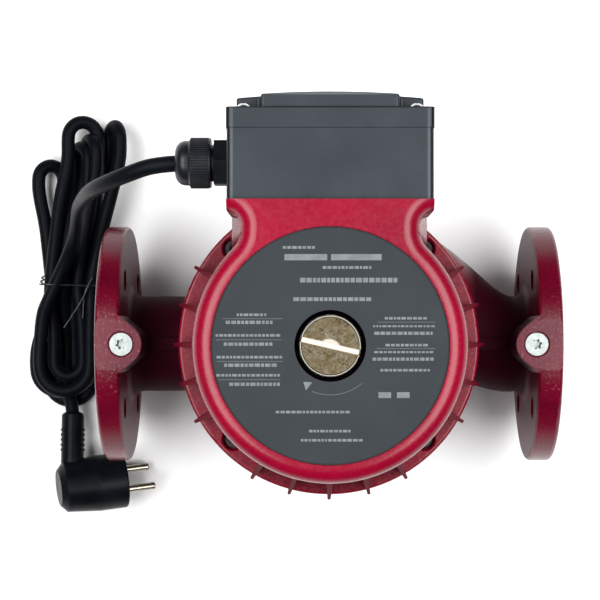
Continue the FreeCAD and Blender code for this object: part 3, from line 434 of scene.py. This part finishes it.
# ------------------------------------------------------------------ cord
LEAD = ((-0.072, 0.0979, 0.254), (-0.092, 0.0979, 0.254), (-0.111, 0.092, 0.247), (-0.1255, 0.088, 0.231),
        (-0.1345, 0.0865, 0.208), (-0.1415, 0.086, 0.175), (-0.149, 0.086, 0.135), (-0.156, 0.0845, 0.097),
        (-0.1605, 0.0795, 0.069), (-0.1645, 0.070, 0.050), (-0.1705, 0.057, 0.0395), (-0.178, 0.0425, 0.0345),
        (-0.185, 0.027, 0.0325))
TIE_Y = 38.5
# Each turn, in millimetres: where it goes down through the tie, its lower loop (left, bottom, right, height of
# each side), where it comes up through the tie, its upper loop (right, top, left, height of each side).
TURNS = (
    (None, (-190.5, -31.5, -158.0, 29.0, 27.0), (-158.1, 22.3), (-138.4, 145.0, -147.6, 22.3, 5.0)),
    ((-175.9, 4.6), (-188.5, -38.5, -158.5, 4.9, 6.0), (-158.1, 13.4), (-154.2, 147.5, -173.0, 12.5, 20.0)),
    ((-184.8, 22.3), (-182.0, -22.0, -163.5, 21.0, 20.0), (-167.0, 22.3), (-154.4, 136.0, -163.4, 22.3, 7.0)),
    ((-175.9, 13.4), (-194.5, -32.0, -165.0, 16.5, 14.0), (-167.0, 13.4), (-160.0, 131.0, -171.5, 18.0, 5.0)),
    ((-175.9, 22.3), (-176.0, -26.5, -157.5, 6.0, 14.0), (-167.0, 4.6), (-178.5, 119.0, -193.6, 4.6, 14.0)),
)
TAIL = ((-184.8, 38.5, 13.4), (-185.8, 18.0, 12.8), (-183.2, -3.0, 12.5), (-177.4, -21.0, 13.0),
        (-172.6, -35.5, 15.6), (-170.2, -45.5, 18.5), (-169.9, -53.3, 20.5))


def fold(start, end, reach, way):
    """Round end of a loop from one strand to the other, as seven points of a slanting half circle."""
    half = Vector((start[0] - end[0], 0.0, start[1] - end[1])) / 2
    middle = Vector(((start[0] + end[0]) / 2, 0.0, (start[1] + end[1]) / 2))
    tall = max(half.length, 6.5)
    points = []
    for k in range(7):
        angle = math.pi * k / 6
        spot = middle + half * math.cos(angle) * 1.04
        points.append((spot.x, reach - way * tall * (1.0 - 1.05 * math.sin(angle)), spot.z))
    return points


def hank_turn(down, low, up, high):
    """Points of one turn: down through the tie, round the lower loop, up through it and round the top."""
    left, bottom, right, level, other = low
    start_x, start_z = down if down else (-185.0, 32.5)
    drop = TIE_Y - bottom
    points = [(start_x, TIE_Y, start_z)] if down else []
    points.append(((start_x + left) / 2 - 1.0, TIE_Y - 0.28 * drop, start_z + (level - start_z) * 0.6))
    points.append((left, TIE_Y - 0.56 * drop, level))
    points += fold((left, level), (right, other), bottom, -1)
    points.append((right, TIE_Y - 0.54 * drop, other + (up[1] - other) * 0.2))
    points.append(((right + up[0]) / 2 + 0.5, TIE_Y - 0.26 * drop, other + (up[1] - other) * 0.7))
    points.append((up[0], TIE_Y, up[1]))
    right, top, left, near, far = high
    rise = top - TIE_Y
    points.append((up[0] + (right - up[0]) * 0.30, TIE_Y + 0.28 * rise, up[1] + (near - up[1]) * 0.3))
    points.append((up[0] + (right - up[0]) * 0.68, TIE_Y + 0.55 * rise, up[1] + (near - up[1]) * 0.7))
    points.append((right, TIE_Y + 0.78 * rise, near))
    points += fold((right, near), (left, far), top, 1)
    points.append((left, TIE_Y + 0.76 * rise, far))
    return points


def between(points, end):
    """Two points that bring a strand from the side of its upper loop down to its place in the tie."""
    x, y, z = points[-1]
    return [(end[0] + (x - end[0]) * s, TIE_Y + (y - TIE_Y) * s / 0.76, end[1] + (z - end[1]) * s)
            for s in (0.52, 0.26)]


def cord_route():
    """The whole centreline: lead, turns of the coil and tail to the plug, in metres."""
    coil = []
    for k, turn in enumerate(TURNS):
        coil += hank_turn(*turn)
        after = TURNS[k + 1][0] if k + 1 < len(TURNS) else (TAIL[0][0], TAIL[0][2])
        coil += between(coil, after)
    coil += TAIL
    return list(LEAD) + [tuple(c * MM for c in p) for p in coil]


def wire(name, points, radius, material, closed=False, resolution=8, sides=6):
    """Smooth round wire along control points in metres."""
    curve = bpy.data.curves.new(name, "CURVE")
    curve.dimensions = "3D"
    curve.bevel_depth = radius
    curve.bevel_resolution = sides
    curve.resolution_u = resolution
    curve.use_fill_caps = not closed
    spline = curve.splines.new("NURBS")
    spline.points.add(len(points) - 1)
    for point, spot in zip(spline.points, points):
        point.co = (*spot, 1.0)
    spline.use_cyclic_u = closed
    spline.order_u = 3
    spline.use_endpoint_u = not closed
    curve.materials.append(material)
    return linked(name, curve)


def as_mesh(obj):
    """Turn a curve object into a mesh one of the same name."""
    name = obj.name
    mesh = bpy.data.meshes.new_from_object(obj.evaluated_get(bpy.context.evaluated_depsgraph_get()))
    bpy.data.objects.remove(obj)
    mesh.name = name
    return linked(name, mesh)


class PUMP_OT_cord(bpy.types.Operator):
    """Lay the mains lead from the gland, round the tied coil and into the plug"""
    bl_idname = "pump.cord"
    bl_label = "Mains lead"

    def execute(self, context):
        settings = context.scene.pump_cord
        cord = wire("mains_cord", cord_route(), settings.diameter / 2, moulded_cord(settings), resolution=10, sides=7)
        place(cord, "casing", "cord_pvc", "mains_cord_lead", "mains_cord_hank")
        return {"FINISHED"}


class PUMP_OT_tie(bpy.types.Operator):
    """Wrap the wire tie round the coil and twist its two ends"""
    bl_idname = "pump.tie"
    bl_label = "Wire tie"

    def execute(self, context):
        settings = context.scene.pump_cord
        varnish = wire_varnish()
        loop = [(-190.2, 39.4, 5.0), (-190.6, 39.3, 20.0), (-190.9, 39.0, 31.0), (-187.2, 38.7, 38.0),
                (-179.0, 38.5, 38.6), (-171.5, 38.3, 34.0), (-158.0, 38.0, 28.2), (-153.2, 37.9, 25.0),
                (-152.8, 38.0, 8.0), (-155.5, 38.3, 0.9), (-172.0, 38.8, 0.7), (-187.0, 39.3, 0.9)]
        band = wire("tie_band", [tuple(c * MM for c in p) for p in loop], settings.tie / 2, varnish, closed=True,
                    sides=4)
        place(as_mesh(band), "casing", "black_plastic", "cord_tie")
        ends = {
            "tie_end_a": [(-157.0, 41.5, 29.2), (-158.2, 37.6, 31.0), (-160.6, 32.5, 31.6), (-164.0, 26.0, 31.4),
                          (-169.0, 18.5, 31.0), (-174.6, 10.2, 30.4)],
            "tie_end_b": [(-155.8, 43.5, 29.4), (-158.6, 38.6, 30.2), (-161.0, 33.6, 29.8), (-161.8, 27.0, 29.0),
                          (-162.4, 16.6, 28.2)],
        }
        for name, points in ends.items():
            end = wire(name, [tuple(c * MM for c in p) for p in points], settings.tie * 0.42, varnish, sides=4)
            place(as_mesh(end), "casing", "black_plastic")
        twist = []
        for k in range(29):
            turn, along = k / 28 * 4 * math.pi, k / 28
            twist.append(((-188.6 + 1.6 * along + 0.8 * math.cos(turn)) * MM, (39.5 + 5.0 * along) * MM,
                          (35.4 + 1.0 * along + 0.8 * math.sin(turn)) * MM))
        place(as_mesh(wire("tie_twist", twist, settings.tie * 0.42, varnish, sides=4)), "casing", "black_plastic")
        return {"FINISHED"}


# ------------------------------------------------------------------ gland
def geometry_tree(name, sizes):
    """Empty geometry tree with one float or integer input for each size."""
    tree = bpy.data.node_groups.new(name, "GeometryNodeTree")
    tree.interface.new_socket(name="Geometry", in_out="OUTPUT", socket_type="NodeSocketGeometry")
    for key, value in sizes.items():
        kind = "NodeSocketInt" if isinstance(value, int) else "NodeSocketFloat"
        tree.interface.new_socket(name=key, in_out="INPUT", socket_type=kind).default_value = value
    given = tree.nodes.new("NodeGroupInput")
    return tree, given


def close_tree(tree, geometry, material):
    """End a tree in real geometry with its material."""
    real = add(tree, "GeometryNodeRealizeInstances", {"Geometry": geometry})
    painted = add(tree, "GeometryNodeSetMaterial", {"Geometry": real.outputs[0], "Material": material})
    smooth = add(tree, "GeometryNodeSetShadeSmooth", {"Geometry": painted.outputs[0], "Shade Smooth": False})
    out = tree.nodes.new("NodeGroupOutput")
    tree.links.new(smooth.outputs[0], out.inputs[0])


def rib_ring_tree(material):
    """Grip ribs laid round a nut, then turned to lie along X and moved to the nut."""
    tree, given = geometry_tree("grip_ribs", {"Count": 60, "Radius": 0.0130, "Length": 0.0095, "Width": 0.0008})
    ring = add(tree, "GeometryNodeMeshCircle", {"Vertices": given.outputs["Count"],
                                                "Radius": given.outputs["Radius"]})
    half = add(tree, "ShaderNodeMath", {0: given.outputs["Width"], 1: 0.5}, operation="MULTIPLY")
    rib = add(tree, "GeometryNodeMeshCylinder", {"Vertices": 8, "Radius": half.outputs[0],
                                                 "Depth": given.outputs["Length"]})
    laid = add(tree, "GeometryNodeInstanceOnPoints", {"Points": ring.outputs[0], "Instance": rib.outputs[0]})
    moved = add(tree, "GeometryNodeTransform", {"Geometry": laid.outputs[0],
                                                "Rotation": (0.0, math.pi / 2, 0.0),
                                                "Translation": (-0.0697, 0.0979, 0.254)})
    close_tree(tree, moved.outputs[0], material)
    return tree


class PUMP_OT_gland(bpy.types.Operator):
    """Add the grip ribs of the gland nut"""
    bl_idname = "pump.gland"
    bl_label = "Gland ribs"

    def execute(self, context):
        settings = context.scene.pump_box
        nylon = MATERIALS["gland"]
        ribs = grown("gland_ribs", rib_ring_tree(nylon),
                     {"Count": settings.ribs, "Radius": 0.01325, "Length": 0.0098, "Width": settings.rib_width},
                     nylon)
        place(ribs, "casing", "black_plastic")
        return {"FINISHED"}


# ------------------------------------------------------------------ plug
# The strain relief runs between these two points.
BOOT_TOP, BOOT_END = Vector((-0.170, -0.0465, 0.019)), Vector((-0.1695, -0.080, 0.0265))


def boot_ring_tree(material):
    """Rings of the strain relief, each left open at the front and the back as it is moulded."""
    sizes = {"Count": 5, "Pitch": 0.00335, "Radius": 0.0075, "Thickness": 0.0016}
    tree, given = geometry_tree("boot_rings", sizes)
    gap = add(tree, "ShaderNodeCombineXYZ", {2: given.outputs["Pitch"]})
    line = add(tree, "GeometryNodeMeshLine", {"Count": given.outputs["Count"], "Offset": gap.outputs[0]})
    arc = add(tree, "GeometryNodeCurveArc", {"Resolution": 22, "Radius": given.outputs["Radius"],
                                             "Start Angle": math.radians(-68), "Sweep Angle": math.radians(136)})
    half = add(tree, "ShaderNodeMath", {0: given.outputs["Thickness"], 1: 0.5}, operation="MULTIPLY")
    cut = add(tree, "GeometryNodeCurvePrimitiveCircle", {"Resolution": 8, "Radius": half.outputs[0]})
    rib = add(tree, "GeometryNodeCurveToMesh", {"Curve": arc.outputs[0], "Profile Curve": cut.outputs[0],
                                                "Fill Caps": True})
    back = add(tree, "GeometryNodeTransform", {"Geometry": rib.outputs[0], "Rotation": (0.0, 0.0, math.pi)})
    pair = tree.nodes.new("GeometryNodeJoinGeometry")
    tree.links.new(rib.outputs[0], pair.inputs[0])
    tree.links.new(back.outputs[0], pair.inputs[0])
    laid = add(tree, "GeometryNodeInstanceOnPoints", {"Points": line.outputs[0], "Instance": pair.outputs[0]})
    close_tree(tree, laid.outputs[0], material)
    return tree


class PUMP_OT_plug(bpy.types.Operator):
    """Add the rings of the plug's strain relief"""
    bl_idname = "pump.plug"
    bl_label = "Plug details"

    def execute(self, context):
        settings = context.scene.pump_plug
        rubber = MATERIALS["plug"]
        rings = grown("boot_rings", boot_ring_tree(rubber),
                      {"Count": settings.rings, "Pitch": settings.ring_pitch, "Radius": 0.0073,
                       "Thickness": 0.0017}, rubber)
        along = (BOOT_END - BOOT_TOP).normalized()
        rings.data.transform(Matrix.Translation(BOOT_TOP + along * 0.0115) @ along.to_track_quat("Z", "Y")
                             .to_matrix().to_4x4())
        rings.data.shade_smooth()
        place(rings, "casing", "black_plastic")
        return {"FINISHED"}


class PUMP_OT_declare(bpy.types.Operator):
    bl_idname = "pump.declare_cord"
    bl_label = "Declare the lead"

    def execute(self, context):
        return {"FINISHED"}


# ------------------------------------------------------------------ nameplate
PRINT_Z = 0.2959
# Rows of print as middle x, middle y, width and height in millimetres from the middle of the plate.
ROWS = (
    (-15.5, 50.6, 18.0, 1.4), (8.6, 40.3, 25.0, 1.4), (10.0, 33.8, 51.0, 2.4), (1.0, 24.0, 40.0, 1.9),
    (-40.3, 16.0, 15.5, 1.3), (-41.0, 12.1, 25.5, 1.7), (-42.2, 5.4, 33.5, 1.3), (-42.0, 0.9, 25.5, 1.7),
    (-41.2, -5.8, 34.5, 1.3), (-40.5, -9.9, 28.0, 1.7), (-41.6, -15.1, 34.0, 1.3), (-38.2, -19.7, 27.5, 1.7),
    (39.0, 14.2, 22.0, 1.3), (38.0, 10.1, 32.0, 1.0), (37.6, 6.5, 30.0, 1.6), (39.6, 0.4, 22.5, 1.3),
    (38.0, -3.2, 31.0, 1.0), (37.4, -6.8, 31.5, 1.6), (39.0, -12.5, 26.5, 1.3), (-9.0, -34.0, 38.0, 1.3),
    (0.4, -43.8, 22.5, 1.3), (1.4, -48.5, 33.0, 1.3),
)
RULES = ((-40.0, 14.0, 31.0), (-42.0, 3.1, 33.5), (-41.2, -8.0, 34.0), (-41.6, -17.4, 31.5), (39.0, 12.2, 30.0),
         (39.0, -1.4, 30.0))


def slab(bm, outline, low=PRINT_Z - 0.00003, high=PRINT_Z + 0.00004):
    """Thin closed layer of ink over an outline in metres."""
    under = [bm.verts.new((x, y, low)) for x, y in outline]
    over = [bm.verts.new((x, y, high)) for x, y in outline]
    bm.faces.new(over)
    bm.faces.new(under[::-1])
    for k in range(len(outline)):
        n = (k + 1) % len(outline)
        bm.faces.new((under[k], under[n], over[n], over[k]))


def bar(bm, x, y, width, height):
    """One bar of ink, in millimetres."""
    a, b = width / 2 * MM, height / 2 * MM
    x, y = x * MM, y * MM
    slab(bm, [(x - a, y - b), (x + a, y - b), (x + a, y + b), (x - a, y + b)])


class PUMP_OT_print(bpy.types.Operator):
    """Print the plate with plain bars in place of its words, rules and a turning arrow"""
    bl_idname = "pump.plate_print"
    bl_label = "Plate print"

    def execute(self, context):
        settings = context.scene.pump_plate
        ink = finish("screen_ink", settings.ink, linear("595d60"), 6, 0.3, 0.004, 0.5,
                     Specular_IOR_Level=0.2)["material"]
        faint = finish("thin_ink", linear("4c5155"), linear("45494d"), 6, 0.3, 0.004, 0.5,
                       Specular_IOR_Level=0.2)["material"]
        rng = random.Random(11)
        words, rules, arrow = bmesh.new(), bmesh.new(), bmesh.new()
        for x, y, width, height in ROWS:
            at = x - width / 2
            while at < x + width / 2 - 1.0:
                word = min(rng.uniform(1.0, 2.4) * (0.6 + height * 0.35), x + width / 2 - at)
                bar(words, at + word / 2, y, word, height)
                at += word + 0.55
        for k, width in enumerate((22.0, 26.0)):
            bar(words, -12.6 + 26.0 * k, 45.6, width, 3.2)
        for x in (28.0, 37.5):
            bar(words, x, -25.3, 6.5, 3.0)
        for x, y, width in RULES:
            bar(rules, x, y, width, 0.35)
        inner, outer, steps = 25.0 * MM, 25.35 * MM, 24
        turns = [math.radians(-50 - 62 * k / steps) for k in range(steps + 1)]
        band = [(outer * math.cos(a), outer * math.sin(a)) for a in turns]
        band += [(inner * math.cos(a), inner * math.sin(a)) for a in reversed(turns)]
        slab(arrow, band)
        slab(words, [(-13.9 * MM, -18.5 * MM), (-12.5 * MM, -22.9 * MM), (-9.3 * MM, -18.7 * MM)])
        place(solid_piece("plate_bars", words, ink), "casing", "plate_print")
        place(solid_piece("plate_rules", rules, faint), "casing", "plate_print")
        place(solid_piece("plate_arrow", arrow, faint), "casing", "plate_print")
        return {"FINISHED"}


# ------------------------------------------------------------------ finishes on the frame
class PUMP_OT_finishes(bpy.types.Operator):
    """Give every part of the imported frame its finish"""
    bl_idname = "pump.finishes"
    bl_label = "Finishes"

    def execute(self, context):
        scene = context.scene
        given = inner_finishes()
        given["box_plastic"] = box_plastic(scene.pump_box)
        given["black_plastic"] = MATERIALS["gland"] = gland_nylon(scene.pump_box)
        given["plate_print"] = printed_foil(scene.pump_plate)
        given["nickel_brass"] = vent_nickel(scene.pump_plate)
        given["cord_pvc"] = MATERIALS["gland"]
        MATERIALS["plug"] = plug_rubber(scene.pump_plug)
        plugs = turned("turned_zinc_plug", linear("8a908e"), linear("7c8280"), 0.45, (124, 0, 0), 0.36)["material"]
        pins = finish("nickel_plated_pin", linear("aaa598"), linear("989385"), 5, 0.5, 0.001, 0.3, Metallic=1.0)
        # Painted shade: the earth clips get a dark nickel colour so that they stay dark.
        clips = finish("dark_nickel_painted_shade", linear("34322e"), linear("2a2825"), 5, 0.5, 0.002, 0.45, Metallic=1.0)
        dark = finish("phosphated_screw", linear("2b2428"), linear("1d181b"), 4, 0.5, 0.006, 0.4, Metallic=0.7)
        own = {"pump_housing": sand_cast_enamel(scene.pump_casting), "motor_screws": dark["material"],
               "motor_housing": die_cast_enamel(scene.pump_casting), "gauge_plugs": plugs,
               "plug_body": MATERIALS["plug"], "plug_pins": pins["material"], "plug_earth_clips": clips["material"]}
        slots = {part["node"]: part["material_slot"] for part in frame["record"]["subparts"]}
        for name, obj in frame["nodes"].items():
            material = own.get(name) or given[slots[name]]
            for k in range(len(obj.data.materials)):
                obj.data.materials[k] = material
        return {"FINISHED"}


# ------------------------------------------------------------------ stage
class PUMP_OT_stage(bpy.types.Operator):
    """Set the camera, the pale floor and the softboxes"""
    bl_idname = "pump.stage_set"
    bl_label = "Stage"

    def execute(self, context):
        scene, settings = context.scene, context.scene.pump_stage
        lens = bpy.data.cameras.new("camera")
        lens.sensor_width, lens.lens = 36.0, settings.lens
        lens.shift_x, lens.shift_y = -0.0333, 0.0567
        lens.clip_start, lens.clip_end = 0.05, 50.0
        camera = linked("camera", lens)
        camera.location = (-0.0053, 0.0061, settings.height)
        scene.camera = camera

        pale = finish("pale_floor", settings.floor, linear("f0f0f0"), 400, 6, 0.02, 0.8, 0.05)
        bm = bmesh.new()
        bmesh.ops.create_grid(bm, x_segments=2, y_segments=2, size=6.0)
        floor = solid_piece("floor", bm, pale["material"])
        floor.data.transform(Matrix.Translation((0, 0, -0.0004)))

        for name, x in (("left", -0.78), ("right", 0.78)):
            light = bpy.data.lights.new("softbox_" + name, "AREA")
            light.shape, light.size, light.size_y = "RECTANGLE", 0.95, 1.5
            light.energy = settings.power
            box = linked("softbox_" + name, light)
            box.location = (x, 0.05, 1.5)

        world = bpy.data.worlds.new("studio")
        scene.world = world
        world.use_nodes = True
        tree = world.node_tree
        tree.nodes.clear()
        sky = add(tree, "ShaderNodeBackground", {"Color": (0.92, 0.95, 1.0, 1.0), "Strength": 0.06})
        add(tree, "ShaderNodeOutputWorld", {"Surface": sky.outputs[0]})
        scene.view_settings.view_transform = "Standard"
        return {"FINISHED"}


class PUMP_PT_panel(bpy.types.Panel):
    """Lists the pump's steps and settings"""
    bl_label = "Circulator pump"
    bl_idname = "PUMP_PT_panel"
    bl_space_type = "VIEW_3D"
    bl_region_type = "UI"
    bl_category = "Pump"

    def draw(self, context):
        for step in STEPS:
            self.layout.operator(step.bl_idname)
        for name, group in GROUPS.items():
            box = self.layout.box()
            for key in group.__annotations__:
                box.prop(getattr(context.scene, name), key)


STEPS = (PUMP_OT_stage, PUMP_OT_finishes, PUMP_OT_cord, PUMP_OT_tie, PUMP_OT_gland, PUMP_OT_plug,
         PUMP_OT_declare, PUMP_OT_print)


def register():
    for kind in (*GROUPS.values(), *STEPS, PUMP_PT_panel):
        bpy.utils.register_class(kind)
    for name, group in GROUPS.items():
        setattr(bpy.types.Scene, name, PointerProperty(type=group))


def unregister():
    for name in GROUPS:
        delattr(bpy.types.Scene, name)
    for kind in (PUMP_PT_panel, *reversed(STEPS), *reversed(tuple(GROUPS.values()))):
        bpy.utils.unregister_class(kind)


def main():
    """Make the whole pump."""
    register()
    for step in STEPS:
        group, name = step.bl_idname.split(".")
        getattr(getattr(bpy.ops, group), name)()
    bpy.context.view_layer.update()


if __name__ == "__main__":
    main()
